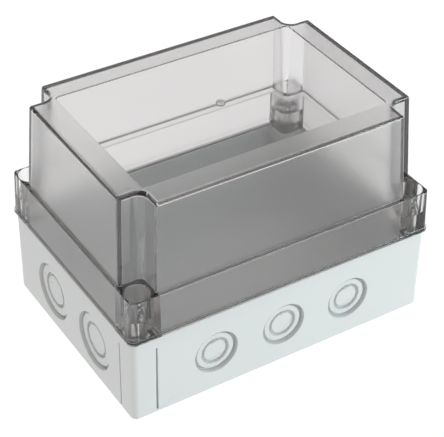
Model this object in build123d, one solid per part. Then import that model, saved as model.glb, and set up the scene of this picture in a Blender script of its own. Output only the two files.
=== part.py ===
from build123d import *
import math
import os

# A wall box for electronics: a grey base tray with knock-outs, and a tall smoked clear cover held by
# four captive screws that sit in open pockets at its corners. Sizes are in millimetres.
# The origin is the middle of the underside. X is the long side, the front faces -Y, and Z is up.

# Overall size
length = 180.0
width = 130.0
height = 125.0
base_height = 50.0
step_height = 75.0

# Cover skin
cover_wall = 2.8
cover_top = 3.0
skirt_wall = 3.0
lip_height = 2.2
lip_proud = 0.6
skirt_draft = 1.0
upper_draft = 2.6
ledge_end = 1.5
ledge_side = 2.0
ledge_thickness = 2.4
lip_corner_r = 4.0
skirt_corner_r = 3.5
top_edge_r = 2.0
notch_corner_r = 3.0
notch_edge_r = 1.0
panel_margin = 0.4
panel_depth = 0.5
panel_corner_r = 2.5
gate_d = 4.4
gate_height = 1.0

# Screw pockets in the cover's corner towers
pocket_d = 13.3
pocket_depth = 13.0
pocket_rim_wall = 0.5
pocket_land_end = 1.2
pocket_land_side = 1.7
tower_wall = 1.5

# Cover screws and the rings that keep them in the cover
screw_hole_clearance = 0.3
head_d = 8.0
head_height = 3.2
slot_width = 1.4
slot_depth = 1.6
thread_d = 5.0
neck_d = 3.8
unscrew_travel = 9.0
thread_pull_out = 0.6
ring_thickness = 1.6
ring_d = 7.6
ring_stop_gap = 0.1
ring_bore_gap = 0.05
thread_bore_gap = 0.06
ring_recess_gap = 0.3
bore_end_gap = 1.0

# Base tray
base_inset_end = 1.3
base_inset_side = 1.7
base_wall = 3.8
base_floor = 3.0
base_corner_r = 3.5
rim_height = 5.0
column_groove_width = 0.8
column_groove_depth = 0.7
column_groove_foot = 1.5
column_groove_gap = 7.7
column_face_end = 12.9
column_face_side = 13.8

# Seal between the two
seal_inset = 2.25
seal_groove_width = 2.4
seal_groove_depth = 3.0
seal_land = 1.2
seal_bend_r = 3.0
seal_rib_width = 1.0
seal_rib_height = 1.4
seal_gap = 0.05

# Knock-outs: three in each long side, two in each short side
long_outer_d = 25.0
long_inner_d = 16.0
long_pitch = 40.5
long_height = 23.4
long_count = 3
short_outer_d = 32.0
short_inner_d = 20.0
short_pitch = 45.4
short_height = 22.4
short_count = 2
knockout_depth = 1.5
disc_depth = 0.3

# Fixings moulded into the floor, at these distances from the inside of the walls
fixing_from_end = 22.9
fixing_from_side = 6.5
fixing_hole_d = 4.8
pillar_from_end = 19.9
pillar_from_side = 19.5
pillar_side = 8.0
pillar_height = 7.0
pillar_hole_d = 2.8
pillar_hole_depth = 8.0

# Two places closer than this are the same
SAME_PLACE = 1e-4

CORNERS = {
    "front_left": (-1, -1),
    "front_right": (1, -1),
    "back_left": (-1, 1),
    "back_right": (1, 1),
}

# Half sizes of each level, as (x, y) pairs
lip_half = (length / 2, width / 2)
skirt_foot = tuple(half - lip_proud for half in lip_half)
skirt_top = tuple(half - skirt_draft for half in skirt_foot)
ledges = (ledge_end, ledge_side)
upper_foot = tuple(half - ledge for half, ledge in zip(skirt_top, ledges))
base_insets = (base_inset_end, base_inset_side)
base_half = tuple(half - inset for half, inset in zip(lip_half, base_insets))

# Inside of the base's walls, and the axes of the fixings and pillars in it
base_room = tuple(half - base_wall for half in base_half)
fixing_at = (base_room[0] - fixing_from_end, base_room[1] - fixing_from_side)
pillar_at = (base_room[0] - pillar_from_end, base_room[1] - pillar_from_side)

# Screw axes, and the planes where the notches cut the corners off
pocket_r = pocket_d / 2
screw_at = tuple(half - pocket_rim_wall - pocket_r for half in skirt_top)
lands = (pocket_land_end, pocket_land_side)
notch_foot = tuple(axis - pocket_r - land for axis, land in zip(screw_at, lands))
notch_top = tuple(cut - upper_draft for cut in notch_foot)
tower_face = tuple(cut - tower_wall for cut in notch_foot)

# Heights along a screw
pocket_floor = step_height - pocket_depth
shoulder_z = base_height - ring_stop_gap - unscrew_travel - ring_thickness
thread_length = unscrew_travel - thread_pull_out
thread_foot = shoulder_z - thread_length
thread_mouth = shoulder_z - thread_pull_out / 2
bore_foot = thread_foot - bore_end_gap
ring_recess_r = ring_d / 2 + ring_recess_gap

# Line of the seal, as half sizes and cut planes
seal_half = tuple(half - seal_inset for half in base_half)
seal_cut = notch_foot
seal_foot = base_height - seal_groove_depth


def shifted(pair, offset):
    """Both values of a pair, moved outwards by an offset."""
    return tuple(value + offset for value in pair)


def upright(section, foot, top):
    """A straight solid on a flat section, from one height to another."""
    return Pos(0, 0, foot) * extrude(section, top - foot)


def round_rod(radius, foot, top, at=(0, 0)):
    """An upright cylinder between two heights."""
    stands = (Align.CENTER, Align.CENTER, Align.MIN)
    return Pos(at[0], at[1], foot) * Cylinder(radius, top - foot, align=stands)


def notched(half, cut, bend_r):
    """A rectangle whose four corners are cut away square, with the inner bends rounded."""
    section = Rectangle(2 * half[0], 2 * half[1])
    for sx, sy in CORNERS.values():
        size = (half[0] - cut[0], half[1] - cut[1])
        middle = (sx * (cut[0] + half[0]) / 2, sy * (cut[1] + half[1]) / 2)
        section -= Pos(*middle) * Rectangle(*size)
    bends = [v for v in section.vertices() if is_bend(v, cut)]
    return fillet(bends, bend_r)


def is_bend(vertex, cut):
    """True for the corner where the two walls of a notch meet."""
    return all(math.isclose(abs(at), to, abs_tol=SAME_PLACE) for at, to in zip((vertex.X, vertex.Y), cut))


def drafted(section, foot, top, draft, draft_height):
    """A solid on a flat section whose walls lean in by the draft over the draft's own height."""
    lean = math.degrees(math.atan2(draft, draft_height))
    return Pos(0, 0, foot) * extrude(section, top - foot, taper=lean)


def soften(solid, cut, tall, top_r, edge_r):
    """Rounds the top edges of a notched solid, then the upright edges beside its notches."""
    solid = fillet(solid.edges().group_by(Axis.Z)[-1], top_r)
    upright_edges = [e for e in solid.edges() if e.bounding_box().size.Z > tall - 2 * top_r]
    outer = [e for e in upright_edges if not near_bend(e, cut)]
    return fillet(outer, edge_r)


def near_bend(edge, cut):
    """True for an upright edge of the rounded inner bend of a notch."""
    middle = edge.center()
    return abs(middle.X) < cut[0] + notch_corner_r and abs(middle.Y) < cut[1] + notch_corner_r


def rounded_slab(half, radius):
    """A rectangle with rounded corners."""
    return RectangleRounded(2 * half[0], 2 * half[1], radius)


def pocket_and_hole():
    """What is cut out of one tower: the open pocket, and the screw's hole below it."""
    pocket = round_rod(pocket_r, pocket_floor, step_height)
    return pocket + round_rod(thread_d / 2 + screw_hole_clearance, base_height, pocket_floor)


def make_cover():
    """The clear cover: lip, skirt, notched upper body, screw towers and the rib that presses the seal."""
    lip = upright(rounded_slab(lip_half, lip_corner_r), base_height, base_height + lip_height)
    skirt_height = step_height - base_height
    skirt_section = rounded_slab(skirt_foot, skirt_corner_r)
    skirt = drafted(skirt_section, base_height, step_height, skirt_draft, skirt_height)

    upper_height = height - step_height
    upper_section = notched(upper_foot, notch_foot, notch_corner_r)
    upper = drafted(upper_section, step_height, height, upper_draft, upper_height)
    upper = soften(upper, notch_foot, upper_height, top_edge_r, notch_edge_r)
    cover = lip + skirt + upper

    room_half = shifted(skirt_top, -skirt_wall)
    room_bend_r = notch_corner_r + tower_wall
    ledge_floor = step_height - ledge_thickness
    lower_room = upright(notched(room_half, tower_face, room_bend_r), base_height, ledge_floor)
    ceiling = height - cover_top
    room_section = notched(shifted(upper_foot, -cover_wall), tower_face, room_bend_r)
    upper_room = drafted(room_section, step_height, ceiling, upper_draft, upper_height)
    cover -= lower_room + upright(room_section, ledge_floor, step_height) + upper_room

    panel = rounded_slab(shifted(notch_top, -panel_margin), panel_corner_r)
    cover -= upright(panel, height - panel_depth, height)
    cover += round_rod(gate_d / 2, ceiling - gate_height, ceiling + panel_depth)

    cover += seal_ring(seal_rib_width / 2, base_height - seal_rib_height, base_height)

    for sx, sy in CORNERS.values():
        cover -= Pos(sx * screw_at[0], sy * screw_at[1], 0) * pocket_and_hole()
    return cover


def seal_ring(spread, foot, top):
    """A ring along the line of the seal, as wide each way as the spread."""
    outer = notched(shifted(seal_half, spread), shifted(seal_cut, spread), seal_bend_r - spread)
    inner = notched(shifted(seal_half, -spread), shifted(seal_cut, -spread), seal_bend_r + spread)
    return upright(outer - inner, foot, top)


def knockout(outer_d, inner_d):
    """One knock-out, lying flat: a round recess with a deeper disc in it, cut down from Z = 0."""
    outer = round_rod(outer_d / 2, -knockout_depth, knockout_depth)
    inner = round_rod(inner_d / 2, -knockout_depth - disc_depth, 0)
    return outer + inner


def cut_row(tray, face_turn, wall_at, count, pitch, centre_z, cutter):
    """Cuts a row of knock-outs into the wall that faces a direction in plan."""
    for index in range(count):
        along = (index - (count - 1) / 2) * pitch
        place = Rot(0, 0, face_turn) * Pos(wall_at, along, centre_z) * Rot(0, 90, 0)
        tray -= place * cutter
    return tray


def cut_column_grooves(tray):
    """Cuts the two fine upright grooves that mark each corner column on the outside."""
    groove_top = base_height - column_groove_gap
    tall = groove_top - column_groove_foot
    middle_z = (groove_top + column_groove_foot) / 2
    across = base_half[0] - column_face_side
    along = base_half[1] - column_face_end
    reach = 2 * column_groove_depth
    for sx, sy in CORNERS.values():
        tray -= Pos(sx * across, sy * base_half[1], middle_z) * Box(column_groove_width, reach, tall)
        tray -= Pos(sx * base_half[0], sy * along, middle_z) * Box(reach, column_groove_width, tall)
    return tray


def make_base():
    """The grey tray: walls, corner columns, seal groove, knock-outs, screw bores and floor fixings."""
    tray = upright(rounded_slab(base_half, base_corner_r), 0, base_height)

    land = seal_groove_width / 2 + seal_land
    column_face = shifted(seal_cut, -land)
    column_bend_r = seal_bend_r + land
    mouth_half = shifted(seal_half, -land)
    rim_foot = base_height - rim_height
    tray -= upright(notched(base_room, column_face, column_bend_r), base_floor, rim_foot)
    tray -= upright(notched(mouth_half, column_face, column_bend_r), rim_foot, base_height)
    tray -= seal_ring(seal_groove_width / 2, seal_foot, base_height)

    for sx, sy in CORNERS.values():
        axis = (sx * screw_at[0], sy * screw_at[1])
        tray -= round_rod(ring_recess_r, thread_mouth, base_height, axis)
        tray -= round_rod(thread_d / 2 + thread_bore_gap, bore_foot, thread_mouth, axis)
        fixing_axis = (sx * fixing_at[0], sy * fixing_at[1])
        tray -= round_rod(fixing_hole_d / 2, 0, base_floor, fixing_axis)
        pillar_axis = (sx * pillar_at[0], sy * pillar_at[1])
        pillar_top = base_floor + pillar_height
        tray += Pos(*pillar_axis) * upright(Rectangle(pillar_side, pillar_side), base_floor / 2, pillar_top)
        tray -= round_rod(pillar_hole_d / 2, pillar_top - pillar_hole_depth, pillar_top, pillar_axis)

    long_cutter = knockout(long_outer_d, long_inner_d)
    short_cutter = knockout(short_outer_d, short_inner_d)
    for turn in (-90, 90):
        tray = cut_row(tray, turn, base_half[1], long_count, long_pitch, long_height, long_cutter)
    for turn in (0, 180):
        tray = cut_row(tray, turn, base_half[0], short_count, short_pitch, short_height, short_cutter)
    return cut_column_grooves(tray)


def make_gasket():
    """The foam seal that lies in the base's groove, under the cover's rib."""
    return seal_ring(seal_groove_width / 2, seal_foot, base_height - seal_rib_height - seal_gap)


def make_screw():
    """One cover screw at its closed height, on the Z axis."""
    head = round_rod(head_d / 2, pocket_floor, pocket_floor + head_height)
    slot_z = pocket_floor + head_height - slot_depth / 2
    head -= Pos(0, 0, slot_z) * Box(head_d, slot_width, slot_depth)
    neck = round_rod(neck_d / 2, shoulder_z, pocket_floor)
    thread = round_rod(thread_d / 2, thread_foot, shoulder_z)
    return head + neck + thread


def make_ring():
    """One retaining ring, resting on the shoulder of its screw's thread."""
    ring = round_rod(ring_d / 2, shoulder_z, shoulder_z + ring_thickness)
    return ring - round_rod(neck_d / 2 + ring_bore_gap, shoulder_z, shoulder_z + ring_thickness)


def write(shape, node):
    """Writes one piece under its name and says how large it is."""
    export_step(shape, f"parts/{node}.step")
    print(f"{node}: {len(shape.solids())} solid, {shape.volume / 1000:.2f} cm3")


def main():
    os.makedirs("parts", exist_ok=True)
    write(make_base(), "base")
    write(make_cover(), "cover")
    write(make_gasket(), "gasket")
    screw = make_screw()
    ring = make_ring()
    for corner, (sx, sy) in CORNERS.items():
        place = Pos(sx * screw_at[0], sy * screw_at[1], 0)
        write(place * screw, f"cover_screw_{corner}")
        write(place * ring, f"retaining_ring_{corner}")


main()
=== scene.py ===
import math

import bmesh
import bpy
from mathutils import Matrix, Vector


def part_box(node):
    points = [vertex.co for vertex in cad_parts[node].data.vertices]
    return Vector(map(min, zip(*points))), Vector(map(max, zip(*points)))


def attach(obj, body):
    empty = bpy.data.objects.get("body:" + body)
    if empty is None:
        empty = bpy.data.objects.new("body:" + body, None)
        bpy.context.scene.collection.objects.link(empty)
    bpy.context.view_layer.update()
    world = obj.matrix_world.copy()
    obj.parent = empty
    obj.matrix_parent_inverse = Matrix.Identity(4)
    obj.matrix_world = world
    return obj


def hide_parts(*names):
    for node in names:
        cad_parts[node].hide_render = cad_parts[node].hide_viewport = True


bl_info = {
    "name": "Clear Cover Wall Box",
    "version": (1, 0, 0),
    "blender": (4, 5, 0),
    "location": "3D View > Sidebar > Wall Box",
    "description": "Dresses a wall box with a smoked clear cover, and sets the stage for its picture",
    "category": "Object",
}

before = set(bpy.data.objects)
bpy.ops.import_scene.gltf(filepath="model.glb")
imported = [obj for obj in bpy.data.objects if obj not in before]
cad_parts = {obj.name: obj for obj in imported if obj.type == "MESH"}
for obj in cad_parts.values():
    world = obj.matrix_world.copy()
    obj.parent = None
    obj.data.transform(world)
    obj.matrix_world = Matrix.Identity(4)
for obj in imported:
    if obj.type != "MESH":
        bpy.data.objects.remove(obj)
CORNERS = ("front_left", "front_right", "back_left", "back_right")


def middle(node):
    """The middle of a CAD node's box."""
    low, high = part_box(node)
    return (Vector(low) + Vector(high)) / 2


SCREW_AXIS = {corner: middle(f"cover_screw_{corner}") for corner in CORNERS}

# The cover's upper body: where it starts, how tall it is and how far its walls lean in over that height
STEP = 0.075
UPPER_TALL = 0.050
UPPER_DRAFT = 0.0026

# What tells the cover's frosted skin from its polished one. Each skin is a half size that runs half way
# through the wall, so the wall's inner face lies within it and its outer face doesn't
UPPER_SKIN = (0.0855, 0.0600)
SKIRT_SKIN = (0.0869, 0.0619)
NOTCH_SKIN = (0.07265, 0.04715)
WINDOW = (0.0704, 0.0449)
LEDGE_LEVEL = 0.0738
CEILING_LEVEL = 0.1216
TOP_LEVEL = 0.1249
POCKET_RADIUS = 0.0052
POCKET_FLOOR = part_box("cover_screw_back_right")[1][2] - 0.0034
GATE_RADIUS = 0.0023


class Line:
    """One socket of a material's nodes. Sums and products of lines add Math nodes."""

    def __init__(self, tree, socket):
        self.tree = tree
        self.socket = socket

    def node(self, kind, settings=None, inputs=None, out=0):
        """Adds one node: its settings first, then the values or links of its sockets."""
        made = self.tree.nodes.new(kind)
        for name, value in (settings or {}).items():
            setattr(made, name, value)
        for name, value in (inputs or {}).items():
            if isinstance(value, Line):
                self.tree.links.new(value.socket, made.inputs[name])
            else:
                made.inputs[name].default_value = value
        return Line(self.tree, made.outputs[out])

    def maths(self, operation, first, second):
        return self.node("ShaderNodeMath", {"operation": operation}, {0: first, 1: second})

    def __add__(self, other):
        return self.maths("ADD", self, other)

    __radd__ = __add__

    def __sub__(self, other):
        return self.maths("SUBTRACT", self, other)

    def __rsub__(self, other):
        return self.maths("SUBTRACT", other, self)

    def __mul__(self, other):
        return self.maths("MULTIPLY", self, other)

    __rmul__ = __mul__

    def less_than(self, other):
        return self.maths("LESS_THAN", self, other)

    def more_than(self, other):
        return self.maths("GREATER_THAN", self, other)

    def larger(self, other):
        return self.maths("MAXIMUM", self, other)


def new_material(name):
    """An empty material, with the line that gives a point's place on the object."""
    material = bpy.data.materials.new(name)
    material.use_nodes = True
    tree = material.node_tree
    tree.nodes.clear()
    coordinates = tree.nodes.new("ShaderNodeTexCoord")
    return material, Line(tree, coordinates.outputs["Object"])


def finish_material(place, surface, volume=None):
    """Gives a material its surface, and its volume where it has one."""
    sockets = {"Surface": surface}
    if volume:
        sockets["Volume"] = volume
    output = place.tree.nodes.new("ShaderNodeOutputMaterial")
    for name, line in sockets.items():
        place.tree.links.new(line.socket, output.inputs[name])


def blend_colours(place, share, first, second):
    """A colour that goes from the first to the second as the share goes from 0 to 1."""
    settings = {"data_type": "RGBA"}
    return place.node("ShaderNodeMix", settings, {0: share, 6: (*first, 1), 7: (*second, 1)}, out=2)


def speckle(place, scale, detail=2.0):
    """Soft noise of about 1/scale metres."""
    return place.node("ShaderNodeTexNoise", None,
                      {"Vector": place, "Scale": scale, "Detail": detail, "Roughness": 0.5})


def grey_moulding(settings):
    """Pale grey polycarbonate with the satin skin that a spark-eroded mould leaves."""
    material, place = new_material("grey_moulding")
    cloud = speckle(place, 22.0, 3.0)
    grain = speckle(place, 2600.0, 2.0)
    pale = tuple(settings.colour)
    shade = tuple(channel * 0.965 for channel in pale)
    colour = blend_colours(place, cloud, shade, pale)
    bump = place.node("ShaderNodeBump", None, {"Strength": 0.25, "Distance": 0.00002, "Height": grain})
    surface = place.node("ShaderNodeBsdfPrincipled", None, {
        "Base Color": colour, "Roughness": 0.38 + 0.12 * grain, "Normal": bump,
        "IOR": 1.58, "Specular IOR Level": 0.5})
    finish_material(place, surface)
    return material


def frosted_share(place):
    """1 on the frosted skin: inside the walls, round the window in the top, and in the gate mark."""
    across = place.node("ShaderNodeVectorMath", {"operation": "ABSOLUTE"}, {0: place})
    x, y, z = (across.node("ShaderNodeSeparateXYZ", None, {0: across}, out=axis) for axis in range(3))
    lean = (z - STEP).larger(0.0) * (UPPER_DRAFT / UPPER_TALL)
    upper = z.more_than(LEDGE_LEVEL)
    half = [high * upper + low * (1 - upper) - lean for high, low in zip(UPPER_SKIN, SKIRT_SKIN)]
    in_walls = x.less_than(half[0]) * y.less_than(half[1]) * z.less_than(CEILING_LEVEL)
    in_window = x.less_than(WINDOW[0]) * y.less_than(WINDOW[1])
    round_window = z.more_than(TOP_LEVEL) * (1 - in_window)
    outside = (x + lean).more_than(NOTCH_SKIN[0]) * (y + lean).more_than(NOTCH_SKIN[1]) * upper
    axis = SCREW_AXIS["back_right"]
    plan = across.node("ShaderNodeVectorMath", {"operation": "MULTIPLY"}, {0: across, 1: (1, 1, 0)})
    from_screw, from_gate = (
        plan.node("ShaderNodeVectorMath", {"operation": "DISTANCE"}, {0: plan, 1: centre}, out=1)
        for centre in ((axis.x, axis.y, 0), (0, 0, 0)))
    in_pocket = from_screw.less_than(POCKET_RADIUS) * z.more_than(POCKET_FLOOR)
    share = in_walls * (1 - outside.larger(in_pocket))
    share = share.larger(round_window).larger(from_gate.less_than(GATE_RADIUS))
    return share


def smoked_clear(name, tint, density, frost=0.0):
    """Clear polycarbonate, tinted grey through its thickness, frosted on the inside of its walls."""
    material, place = new_material(name)
    roughness = 0.012 + 0.01 * speckle(place, 60.0, 1.0)
    if frost:
        roughness = roughness + frost * frosted_share(place)
    surface = place.node("ShaderNodeBsdfPrincipled", None, {
        "Base Color": (1, 1, 1, 1), "Roughness": roughness, "IOR": 1.58,
        "Transmission Weight": 1.0})
    volume = place.node("ShaderNodeVolumeAbsorption", None, {"Color": (*tint, 1), "Density": density})
    finish_material(place, surface, volume)
    return material


def foam_skin():
    """Closed-cell foam with a fine skin."""
    material, place = new_material("foam_skin")
    cells = place.node("ShaderNodeTexVoronoi", None, {"Vector": place, "Scale": 1800.0})
    colour = blend_colours(place, cells, (0.09, 0.092, 0.095), (0.15, 0.152, 0.155))
    bump = place.node("ShaderNodeBump", None, {"Strength": 0.5, "Distance": 0.0001, "Height": cells})
    surface = place.node("ShaderNodeBsdfPrincipled", None, {
        "Base Color": colour, "Roughness": 0.75 + 0.15 * cells, "Normal": bump})
    finish_material(place, surface)
    return material


def ring_rubber():
    """Matt black rubber."""
    material, place = new_material("ring_rubber")
    grain = speckle(place, 3500.0, 2.0)
    colour = blend_colours(place, grain, (0.018, 0.018, 0.018), (0.035, 0.035, 0.036))
    bump = place.node("ShaderNodeBump", None, {"Strength": 0.3, "Distance": 0.00003, "Height": grain})
    surface = place.node("ShaderNodeBsdfPrincipled", None, {
        "Base Color": colour, "Roughness": 0.55 + 0.2 * grain, "Normal": bump})
    finish_material(place, surface)
    return material


WELD = 1e-6
SLIVER = 1e-7


def tidy(work):
    """Welds a bmesh, drops its slivers and turns its faces outwards."""
    bmesh.ops.remove_doubles(work, verts=work.verts, dist=WELD)
    bmesh.ops.dissolve_degenerate(work, dist=SLIVER, edges=work.edges)
    bmesh.ops.recalc_face_normals(work, faces=work.faces)


def welded_copy(node):
    """A CAD node's mesh as a new, welded bmesh."""
    work = bmesh.new()
    work.from_mesh(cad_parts[node].data)
    tidy(work)
    return work


def as_object(work, name):
    """Puts a bmesh in an object of its own."""
    mesh = bpy.data.meshes.new(name)
    work.to_mesh(mesh)
    work.free()
    made = bpy.data.objects.new(name, mesh)
    bpy.context.scene.collection.objects.link(made)
    return made


def cut(work, cutters):
    """What is left of a bmesh when closed cutters are taken out of it."""
    body = as_object(work, "body")
    tool = as_object(cutters, "tool")
    boolean = body.modifiers.new("cut", "BOOLEAN")
    boolean.operation = "DIFFERENCE"
    boolean.solver = "EXACT"
    boolean.object = tool
    view = bpy.context.evaluated_depsgraph_get()
    left = bmesh.new()
    left.from_mesh(bpy.data.meshes.new_from_object(body.evaluated_get(view)))
    for spent in (body, tool):
        mesh = spent.data
        bpy.data.objects.remove(spent)
        bpy.data.meshes.remove(mesh)
    tidy(left)
    return left


def spin_outline(work, outline, closed, steps, climb=0.0):
    """Spins an outline of (radius, height) points once round Z, with a climb where it is a thread."""
    points = [work.verts.new((radius, 0, height)) for radius, height in outline]
    ends = points[1:] + points[:1] if closed else points[1:]
    lines = [work.edges.new(pair) for pair in zip(points, ends)]
    bmesh.ops.spin(work, geom=points + lines, cent=(0, 0, 0), axis=(0, 0, 1), dvec=(0, 0, climb / steps),
                   angle=math.tau, steps=steps, use_merge=climb == 0)


def add_ring(work, outline, place, out, steps=64):
    """Adds a spun closed ring whose axis points out of a wall at a place."""
    before = set(work.verts)
    spin_outline(work, outline, True, steps)
    fresh = [vertex for vertex in work.verts if vertex not in before]
    turn = out.to_track_quat("Z", "Y").to_matrix().to_4x4()
    bmesh.ops.transform(work, matrix=Matrix.Translation(place) @ turn, verts=fresh)


def add_block(work, centre, size):
    """Adds an upright block."""
    bmesh.ops.create_cube(work, size=1.0, matrix=Matrix.Translation(centre) @ Matrix.Diagonal((*size, 1)))


SHARP_ANGLE = math.radians(28)
ROUNDED_ANGLE = math.radians(40)


def finish_piece(work, name, body, material):
    """Makes a piece from a bmesh: smooth but for its sharp edges, on its body and with its material."""
    for face in work.faces:
        face.smooth = True
        face.material_index = 0
    for edge in work.edges:
        edge.smooth = len(edge.link_faces) == 2 and edge.calc_face_angle() < SHARP_ANGLE
    piece = as_object(work, name)
    piece.data.materials.clear()
    piece.data.materials.append(material)
    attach(piece, body)
    return piece


def round_edges(piece, width, segments=2, weighted=False):
    """Adds the small radius that every moulded edge has, and keeps the faces beside it flat to the eye.

    The bevel does that itself, but it errs beside the low steps of the cover, where weighting is used.
    """
    bevel = piece.modifiers.new("moulded edges", "BEVEL")
    bevel.width = width
    bevel.segments = segments
    bevel.limit_method = "ANGLE"
    bevel.angle_limit = ROUNDED_ANGLE
    bevel.use_clamp_overlap = False
    bevel.miter_outer = "MITER_ARC"
    if weighted:
        normals = piece.modifiers.new("flat faces", "WEIGHTED_NORMAL")
        normals.keep_sharp = True
        normals.weight = 100
    else:
        bevel.harden_normals = True


class BaseSettings(bpy.types.PropertyGroup):
    """What a user may change on the base tray."""
    colour: bpy.props.FloatVectorProperty(
        name="Colour", description="Colour of the moulded grey", subtype="COLOR", size=3,
        default=(0.705, 0.718, 0.706), min=0, max=1)
    edge: bpy.props.FloatProperty(
        name="Edge Radius", description="Radius of the moulded edges", unit="LENGTH", default=0.00025, min=0)
    break_width: bpy.props.FloatProperty(
        name="Break Groove Width", description="Width of the groove that a knock-out breaks along",
        unit="LENGTH", default=0.0017, min=0.0003)
    break_depth: bpy.props.FloatProperty(
        name="Break Groove Depth", description="From the wall's face to the foot of the groove",
        unit="LENGTH", default=0.0034, min=0.002, max=0.0035)
    line_depth: bpy.props.FloatProperty(
        name="Corner Line Depth", description="Depth of the fine upright lines that mark the corner columns",
        unit="LENGTH", default=0.0018, min=0.0007, max=0.003)


class CoverSettings(bpy.types.PropertyGroup):
    """What a user may change on the clear cover."""
    tint: bpy.props.FloatVectorProperty(
        name="Tint", description="Colour of the light that the plastic lets through", subtype="COLOR", size=3,
        default=(0.5, 0.45, 0.435), min=0, max=1)
    density: bpy.props.FloatProperty(
        name="Density", description="How strongly the tint works, per metre", default=55.0, min=0)
    frost: bpy.props.FloatProperty(
        name="Frost", description="Roughness of the frosted inside of the walls", subtype="FACTOR",
        default=0.32, min=0, max=1)
    edge: bpy.props.FloatProperty(
        name="Edge Radius", description="Radius of the moulded edges", unit="LENGTH", default=0.00024, min=0)


class ScrewSettings(bpy.types.PropertyGroup):
    """What a user may change on the cover screws."""
    pitch: bpy.props.FloatProperty(
        name="Pitch", description="How far a screw climbs in one turn", unit="LENGTH", default=0.002,
        min=0.0005)
    root: bpy.props.FloatProperty(
        name="Root Radius", description="Radius at the foot of the thread", unit="LENGTH", default=0.002,
        min=0.001, max=0.0024)
    slot_width: bpy.props.FloatProperty(
        name="Slot Width", description="Width of the slot in the head", unit="LENGTH", default=0.0014,
        min=0.0004, max=0.003)


class StageSettings(bpy.types.PropertyGroup):
    """The camera and the studio."""
    azimuth: bpy.props.FloatProperty(
        name="Azimuth", description="How far the camera stands to the left of the front", unit="ROTATION",
        default=math.radians(32.56))
    elevation: bpy.props.FloatProperty(
        name="Elevation", description="How far the camera looks down", unit="ROTATION",
        default=math.radians(37.27))
    roll: bpy.props.FloatProperty(
        name="Roll", description="Lean of the picture", unit="ROTATION", default=math.radians(0.89))
    distance: bpy.props.FloatProperty(
        name="Distance", description="From the camera to the point that it looks at", unit="LENGTH",
        default=0.78998, min=0.1)
    lens: bpy.props.FloatProperty(
        name="Lens", description="Focal length on a sensor 36 mm wide", unit="CAMERA", default=121.82, min=1)
    sky: bpy.props.FloatProperty(name="Sky", description="Strength of the light overhead", default=1.0, min=0)
    horizon: bpy.props.FloatProperty(
        name="Horizon", description="Strength of the light near the horizon", default=0.11, min=0)


LONG_ROW = {"pitch": 0.0405, "count": 3, "height": 0.0234, "radii": (0.0125, 0.008)}
SHORT_ROW = {"pitch": 0.0454, "count": 2, "height": 0.0224, "radii": (0.016, 0.010)}
COLUMN_LINE = {"width": 0.00084, "foot": 0.00148, "top": 0.04232, "from_end": 0.0138, "from_side": 0.0129}
LINE_SHALLOWEST, LINE_DEEPEST = 0.0001, 0.001

# How far a cut goes past a face so that the two don't coincide, in and across the wall
BLEND = 0.00005
PAST_FACE = 0.001


def knockouts():
    """Each knock-out: its middle on the wall's face, the way out of the wall, and its two radii."""
    reach = Vector(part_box("base")[1])
    for way in (-1, 1):
        for row, out in ((LONG_ROW, Vector((0, way, 0))), (SHORT_ROW, Vector((way, 0, 0)))):
            along = Vector((abs(out.y), abs(out.x), 0))
            face = Vector((out.x * reach.x, out.y * reach.y, row["height"]))
            for index in range(row["count"]):
                yield face + along * (index - (row["count"] - 1) / 2) * row["pitch"], out, row["radii"]


def base_cutters(settings):
    """The break grooves of the knock-outs and the fine lines beside the corner columns, to be cut out."""
    work = bmesh.new()
    for place, out, radii in knockouts():
        for radius in radii:
            inner, outer = radius - settings.break_width, radius + BLEND
            outline = [(inner, -settings.break_depth), (outer, -settings.break_depth), (outer, PAST_FACE),
                       (inner, PAST_FACE)]
            add_ring(work, outline, place, out)
    reach = Vector(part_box("base")[0])
    line = COLUMN_LINE
    tall = line["top"] - line["foot"]
    level = (line["top"] + line["foot"]) / 2
    deep = 2 * settings.line_depth
    add_block(work, Vector((reach.x + line["from_end"], reach.y, level)), (line["width"], deep, tall))
    add_block(work, Vector((reach.x, reach.y + line["from_side"], level)), (deep, line["width"], tall))
    bmesh.ops.recalc_face_normals(work, faces=work.faces)
    return work


def fill_far_lines(work):
    """Brings the foot of the fine lines flush with the wall, except beside the corner that shows them."""
    reach = Vector(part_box("base")[1])
    line = COLUMN_LINE
    for vertex in work.verts:
        place = vertex.co
        if place.x + place.y < -reach.y or not line["foot"] < place.z < line["top"]:
            continue
        for axis, other, inset in ((1, 0, line["from_end"]), (0, 1, line["from_side"])):
            depth = reach[axis] - abs(place[axis])
            beside = abs(abs(place[other]) - reach[other] + inset)
            if LINE_SHALLOWEST < depth < LINE_DEEPEST and beside < line["width"]:
                place[axis] = math.copysign(reach[axis], place[axis])
    tidy(work)


class WALLBOX_OT_base(bpy.types.Operator):
    """Dresses the base tray, with the break grooves of its knock-outs"""
    bl_idname = "wallbox.base"
    bl_label = "Base Tray"

    def execute(self, context):
        settings = context.scene.wallbox_base
        work = welded_copy("base")
        fill_far_lines(work)
        work = cut(work, base_cutters(settings))
        tray = finish_piece(work, "base_tray", "tray", grey_moulding(settings))
        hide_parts("base")
        round_edges(tray, settings.edge)
        return {"FINISHED"}


class WALLBOX_OT_cover(bpy.types.Operator):
    """Dresses the clear cover"""
    bl_idname = "wallbox.cover"
    bl_label = "Clear Cover"

    def execute(self, context):
        settings = context.scene.wallbox_cover
        material = smoked_clear("smoked_clear", settings.tint, settings.density, settings.frost)
        shell = finish_piece(welded_copy("cover"), "cover_shell", "lid", material)
        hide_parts("cover")
        round_edges(shell, settings.edge, weighted=True)
        return {"FINISHED"}


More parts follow.
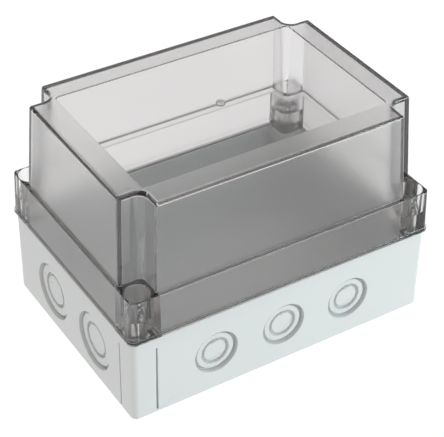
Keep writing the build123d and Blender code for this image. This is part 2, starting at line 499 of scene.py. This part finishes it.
# The head's underside stands a hair above its seat
HEAD_HEIGHT = 0.00317
SLOT_DEPTH = 0.0016
NECK_RADIUS = 0.0019
NECK_FILLET = 0.0003
CREST_RADIUS = 0.0025
FOOT_BREAK = 0.0002
CROWN = ((0, 0.0006), (0.0002, 0.00018), (0.0006, 0))
THREAD_SHARES = (0, 0.3, 0.5, 0.8)
ROUND_STEPS = 48
THREAD_STEPS = 32


def threaded_shank(settings, foot, top, crest):
    """A threaded rod on the Z axis as one skin: a zigzag spun once round while it climbs one pitch."""
    work = bmesh.new()
    pitch = settings.pitch
    start = foot - 1.5 * pitch
    turns = math.ceil((top - foot) / pitch) + 2
    outline = []
    for turn in range(turns):
        for share, radius in zip(THREAD_SHARES, (settings.root, settings.root, crest, crest)):
            outline.append((radius, start + (turn + share) * pitch))
    outline.append((settings.root, start + turns * pitch))
    spin_outline(work, outline, False, THREAD_STEPS, pitch)
    bmesh.ops.remove_doubles(work, verts=work.verts, dist=WELD)
    for height, out in ((foot, -1), (top, 1)):
        geometry = [*work.verts, *work.edges, *work.faces]
        bmesh.ops.bisect_plane(work, geom=geometry, dist=SLIVER, plane_co=(0, 0, height),
                               plane_no=(0, 0, out), clear_outer=True)
    rims = [edge for edge in work.edges if len(edge.link_faces) == 1]
    bmesh.ops.holes_fill(work, edges=rims, sides=0)
    return work


def cover_screw(settings):
    """One cover screw on the Z axis: threaded shank, neck and slotted head."""
    low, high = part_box("cover_screw_back_right")
    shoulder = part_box("retaining_ring_back_right")[0][2]
    seat = high[2] - HEAD_HEIGHT
    head = (high[0] - low[0]) / 2
    work = threaded_shank(settings, low[2], shoulder, CREST_RADIUS)
    foot = shoulder - NECK_FILLET
    outline = [(0, foot), (NECK_RADIUS, foot), (NECK_RADIUS, seat - NECK_FILLET),
               (NECK_RADIUS + NECK_FILLET, seat), (head - FOOT_BREAK, seat), (head, seat + FOOT_BREAK)]
    outline += [(head - inset, high[2] - drop) for inset, drop in CROWN] + [(0, high[2])]
    spin_outline(work, outline, False, ROUND_STEPS)
    tidy(work)
    slot = bmesh.new()
    add_block(slot, Vector((0, 0, high[2])), (4 * head, settings.slot_width, 2 * SLOT_DEPTH))
    return cut(work, slot)


class WALLBOX_OT_screws(bpy.types.Operator):
    """Makes the four threaded cover screws"""
    bl_idname = "wallbox.screws"
    bl_label = "Cover Screws"

    def execute(self, context):
        cover = context.scene.wallbox_cover
        clear = smoked_clear("clear_screw", cover.tint, cover.density)
        pattern = cover_screw(context.scene.wallbox_screw)
        for corner, axis in SCREW_AXIS.items():
            work = pattern.copy()
            bmesh.ops.translate(work, verts=work.verts, vec=(axis.x, axis.y, 0))
            screw = finish_piece(work, f"threaded_screw_{corner}", f"screw_{corner}", clear)
            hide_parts(f"cover_screw_{corner}")
            round_edges(screw, 0.0001, 1)
        pattern.free()
        return {"FINISHED"}


class WALLBOX_OT_rings(bpy.types.Operator):
    """Makes the four rubber rings that keep the screws in the cover"""
    bl_idname = "wallbox.rings"
    bl_label = "Retaining Rings"

    def execute(self, context):
        rubber = ring_rubber()
        for corner, axis in SCREW_AXIS.items():
            low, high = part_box(f"retaining_ring_{corner}")
            bore, rim = NECK_RADIUS + BLEND, (high[0] - low[0]) / 2
            work = bmesh.new()
            outline = [(bore, low[2]), (rim, low[2]), (rim, high[2]), (bore, high[2])]
            add_ring(work, outline, Vector((axis.x, axis.y, 0)), Vector((0, 0, 1)), ROUND_STEPS)
            tidy(work)
            ring = finish_piece(work, f"rubber_ring_{corner}", f"ring_{corner}", rubber)
            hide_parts(f"retaining_ring_{corner}")
            round_edges(ring, 0.0004, 3)
        return {"FINISHED"}


class WALLBOX_OT_seal(bpy.types.Operator):
    """Dresses the foam seal in the groove of the base"""
    bl_idname = "wallbox.seal"
    bl_label = "Foam Seal"

    def execute(self, context):
        seal = finish_piece(welded_copy("gasket"), "foam_seal", "tray", foam_skin())
        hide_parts("gasket")
        round_edges(seal, 0.0003, 3)
        return {"FINISHED"}


LAMPS = {
    "top_softbox": {"place": (0.15, -0.1, 1.1), "aim": (0, 0, 0.06), "size": 0.9, "power": 0.8,
                    "colour": (1, 1, 1)},
    "front_softbox": {"place": (0.85, -0.85, 0.3), "aim": (0.02, 0, 0.05), "size": 0.5, "power": 6.6,
                      "colour": (0.74, 0.94, 1.0)},
}
FLOOR_REACH = 3.0
FLOOR_GLOW = 0.97

# The point that the camera looks at: a place on the box's axis, then across and down in the picture
AIM = Vector((0, 0, 0.0625))
AIM_ACROSS = 0.00153
AIM_DOWN = 0.00948


def add_light(name, place, aim, size, power, colour):
    """A soft square lamp that faces the box."""
    data = bpy.data.lights.new(name, "AREA")
    data.color = colour
    data.shape = "RECTANGLE"
    data.size = data.size_y = size
    data.energy = power
    lamp = bpy.data.objects.new(name, data)
    bpy.context.scene.collection.objects.link(lamp)
    lamp.location = place
    lamp.rotation_euler = (Vector(aim) - Vector(place)).to_track_quat("-Z", "Y").to_euler()


class WALLBOX_OT_stage(bpy.types.Operator):
    """Sets the floor, the soft light and the camera"""
    bl_idname = "wallbox.stage"
    bl_label = "Stage"

    def execute(self, context):
        settings = context.scene.wallbox_stage
        scene = context.scene
        scene.view_settings.view_transform = "Standard"

        world = bpy.data.worlds.new("studio")
        world.use_nodes = True
        tree = world.node_tree
        background = tree.nodes["Background"]
        background.inputs["Color"].default_value = (1, 1, 1, 1)
        way = Line(tree, tree.nodes.new("ShaderNodeTexCoord").outputs["Generated"])
        rise = way.node("ShaderNodeSeparateXYZ", None, {0: way}, out=2)
        light = settings.horizon + (settings.sky - settings.horizon) * rise.larger(0.0)
        tree.links.new(light.socket, background.inputs["Strength"])
        scene.world = world

        work = bmesh.new()
        bmesh.ops.create_grid(work, x_segments=1, y_segments=1, size=FLOOR_REACH)
        mesh = bpy.data.meshes.new("floor")
        work.to_mesh(mesh)
        work.free()
        floor = bpy.data.objects.new("floor", mesh)
        scene.collection.objects.link(floor)
        material, place = new_material("white_sweep")
        surface = place.node("ShaderNodeBsdfPrincipled", None, {
            "Base Color": (0.1, 0.1, 0.1, 1), "Roughness": 0.9, "Specular IOR Level": 0.0,
            "Emission Color": (1, 1, 1, 1), "Emission Strength": FLOOR_GLOW})
        finish_material(place, surface)
        mesh.materials.append(material)

        for name, lamp in LAMPS.items():
            add_light(name, **lamp)

        azimuth, elevation, roll = -settings.azimuth, settings.elevation, settings.roll
        back = Vector((math.sin(azimuth) * math.cos(elevation), -math.cos(azimuth) * math.cos(elevation),
                       math.sin(elevation)))
        right = Vector((math.cos(azimuth), math.sin(azimuth), 0))
        up = back.cross(right)
        aim = AIM + right * AIM_ACROSS - up * AIM_DOWN
        across = right * math.cos(roll) + up * math.sin(roll)
        upward = up * math.cos(roll) - right * math.sin(roll)
        data = bpy.data.cameras.new("camera")
        data.sensor_fit = "HORIZONTAL"
        data.sensor_width = 36.0
        data.lens = settings.lens
        data.clip_start = 0.01
        camera = bpy.data.objects.new("camera", data)
        scene.collection.objects.link(camera)
        camera.matrix_world = turned(across, upward, back, aim + back * settings.distance)
        scene.camera = camera
        return {"FINISHED"}


def turned(across, upward, back, place):
    """The matrix of an object with these axes at this place."""
    turn = Matrix((across, upward, back)).transposed().to_4x4()
    turn.translation = place
    return turn


class WALLBOX_PT_panel(bpy.types.Panel):
    """Lists the pieces of the wall box"""
    bl_idname = "WALLBOX_PT_panel"
    bl_label = "Wall Box"
    bl_space_type = "VIEW_3D"
    bl_region_type = "UI"
    bl_category = "Wall Box"

    def draw(self, context):
        for operator in OPERATORS:
            self.layout.operator(operator.bl_idname)
        for group in SETTINGS:
            box = self.layout.box()
            for name in SETTINGS[group].__annotations__:
                box.prop(getattr(context.scene, group), name)


OPERATORS = (WALLBOX_OT_base, WALLBOX_OT_cover, WALLBOX_OT_screws, WALLBOX_OT_rings, WALLBOX_OT_seal,
             WALLBOX_OT_stage)
SETTINGS = {"wallbox_base": BaseSettings, "wallbox_cover": CoverSettings, "wallbox_screw": ScrewSettings,
            "wallbox_stage": StageSettings}


def register():
    for group in SETTINGS.values():
        bpy.utils.register_class(group)
    for name, group in SETTINGS.items():
        setattr(bpy.types.Scene, name, bpy.props.PointerProperty(type=group))
    for operator in (*OPERATORS, WALLBOX_PT_panel):
        bpy.utils.register_class(operator)


def unregister():
    for operator in (WALLBOX_PT_panel, *reversed(OPERATORS)):
        bpy.utils.unregister_class(operator)
    for name in SETTINGS:
        delattr(bpy.types.Scene, name)
    for group in SETTINGS.values():
        bpy.utils.unregister_class(group)


def main():
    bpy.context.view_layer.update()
    register()
    bpy.ops.wallbox.base()
    bpy.ops.wallbox.cover()
    bpy.ops.wallbox.screws()
    bpy.ops.wallbox.rings()
    bpy.ops.wallbox.seal()
    bpy.ops.wallbox.stage()
    bpy.context.view_layer.update()


if __name__ == "__main__":
    main()
